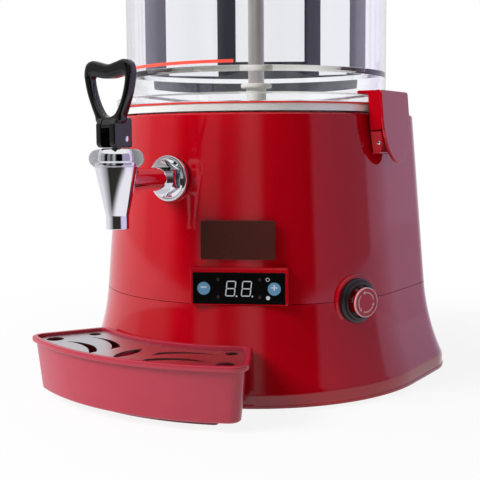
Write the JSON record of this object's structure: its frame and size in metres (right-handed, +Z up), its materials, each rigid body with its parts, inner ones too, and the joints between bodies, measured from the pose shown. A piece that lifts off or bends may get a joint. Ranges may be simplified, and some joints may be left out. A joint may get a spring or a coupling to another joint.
{
  "type": "hot chocolate dispenser",
  "caption": "Table-top hot drink dispenser: clear cylindrical tank clamped on a heated pan in a flared D-shaped housing, with stirrer, lever tap, stop switch and pull-out drip tray.",
  "frame": {"origin": "centre of the bounding box in plan, on the counter under the feet", "axes": "+X to the right seen from the front, +Y to the rear (the tap and the tray face -Y), +Z up along the tank"},
  "size_m": [0.28, 0.3486, 0.517],
  "materials": {
    "red_abs": "glossy crimson moulded ABS",
    "black_abs": "glossy black moulded plastic",
    "black_matte": "matt black moulded plastic",
    "clear_pc": "clear moulded polycarbonate",
    "white_acetal": "moulded acetal",
    "brown_plate": "satin brown acrylic",
    "steel": "stainless steel, brushed or drawn",
    "zinc_steel": "zinc-plated sheet and screws",
    "chrome": "chrome-plated brass",
    "motor_paint": "grey-coated motor housing",
    "brass": "turned brass",
    "red_silicone": "bright red silicone",
    "white_silicone": "food-grade silicone",
    "black_rubber": "black rubber",
    "board": "glass-fibre circuit board",
    "foam": "foam adhesive pad",
    "spring_steel": "spring wire"
  },
  "bodies": {
    "machine": {"upper_housing": "red_abs", "base_skirt": "red_abs", "base_plate": "zinc_steel", "rubber_feet": "black_rubber", "tie_screws": "zinc_steel", "cable_gland": "black_matte", "heating_pan": "steel", "stand_pipe": "steel", "shaft_bushes": "white_acetal", "pan_gasket": "red_silicone", "tank": "clear_pc", "gear_motor": "motor_paint", "motor_bracket": "zinc_steel", "fixing_screws": "zinc_steel", "heater_ring": "steel", "heater_clamp": "zinc_steel", "heater_nuts": "zinc_steel", "thermal_cutout": "black_matte", "temperature_probe": "steel", "tap_body": "chrome", "tap_bonnet": "chrome", "bonnet_seal": "white_silicone", "escutcheon": "chrome", "escutcheon_gasket": "black_rubber", "tap_nut": "chrome", "shank_spacer": "white_silicone", "shank_seal": "white_silicone", "shank_lock_nut": "steel", "latch_brackets": "red_abs", "latch_pins": "steel", "latch_springs": "spring_steel", "display_overlay": "black_abs", "control_board": "board", "nameplate": "brown_plate", "nameplate_pad": "foam", "stop_collar": "black_abs", "stop_nut": "black_matte", "stop_block": "black_matte", "power_board": "board"},
    "lid": {"tank_lid": "clear_pc", "lid_knob": "black_abs", "lid_screw": "steel"},
    "stirrer": {"stirrer_tube": "steel", "stirrer_paddle": "white_acetal", "stirrer_cap": "black_abs", "drive_shaft": "steel", "motor_shaft": "steel", "shaft_coupling": "brass"},
    "tap_valve": {"valve_stem": "steel", "valve_cup": "white_silicone", "valve_spring": "spring_steel"},
    "lever": {"tap_lever": "black_abs", "lever_pin": "steel"},
    "latch_r": {"latch_right": "red_abs"},
    "latch_l": {"latch_left": "red_abs"},
    "stop_button": {"stop_plunger": "white_acetal", "stop_spring": "spring_steel"},
    "stop_cap": {"stop_head": "red_abs"},
    "tray": {"drip_tray": "red_abs"},
    "grid": {"drip_grid": "steel"}
  },
  "joints": [
    {"name": "lid_lift", "type": "slide", "parent": "machine", "child": "lid", "axis": [0, 0, 1], "range_m": [0, 0.06]},
    {"name": "stirrer_spin", "type": "hinge", "parent": "machine", "child": "stirrer", "pos_m": [0, 0.01865, 0.3025], "axis": [0, 0, 1], "continuous": true},
    {"name": "valve_lift", "type": "slide", "parent": "machine", "child": "tap_valve", "axis": [0, 0, 1], "range_m": [0, 0.0066]},
    {"name": "lever_pull", "type": "hinge", "parent": "tap_valve", "child": "lever", "pos_m": [0, -0.15535, 0.1895], "axis": [1, 0, 0], "range_deg": [0, 50], "stiffness_Nm_per_rad": 0.12, "springref_deg": -20.05},
    {"name": "latch_right_open", "type": "hinge", "parent": "machine", "child": "latch_r", "pos_m": [0.11971, 0.01865, 0.18598], "axis": [0, 1, 0], "range_deg": [0, 22], "stiffness_Nm_per_rad": 0.25, "springref_deg": -20.05},
    {"name": "latch_left_open", "type": "hinge", "parent": "machine", "child": "latch_l", "pos_m": [-0.11971, 0.01865, 0.18598], "axis": [0, -1, 0], "range_deg": [0, 22], "stiffness_Nm_per_rad": 0.25, "springref_deg": -20.05},
    {"name": "stop_press", "type": "slide", "parent": "machine", "child": "stop_button", "axis": [-0.9252, 0.3795, 0], "range_m": [0, 0.004], "stiffness_N_per_m": 1200, "springref_m": -0.003},
    {"name": "stop_twist", "type": "hinge", "parent": "stop_button", "child": "stop_cap", "pos_m": [0.12028, -0.03068, 0.072], "axis": [-0.9252, 0.3795, 0], "range_deg": [0, 45], "stiffness_Nm_per_rad": 0.05, "springref_deg": -11.46},
    {"name": "tray_pull", "type": "slide", "parent": "machine", "child": "tray", "axis": [0, -1, 0], "range_m": [0, 0.06]},
    {"name": "grid_lift", "type": "slide", "parent": "tray", "child": "grid", "axis": [0, 0, 1], "range_m": [0, 0.025]}
  ],
  "couplings": [
    {"joint": "valve_lift", "follows": "lever_pull", "m_per_rad": 0.0075}
  ]
}
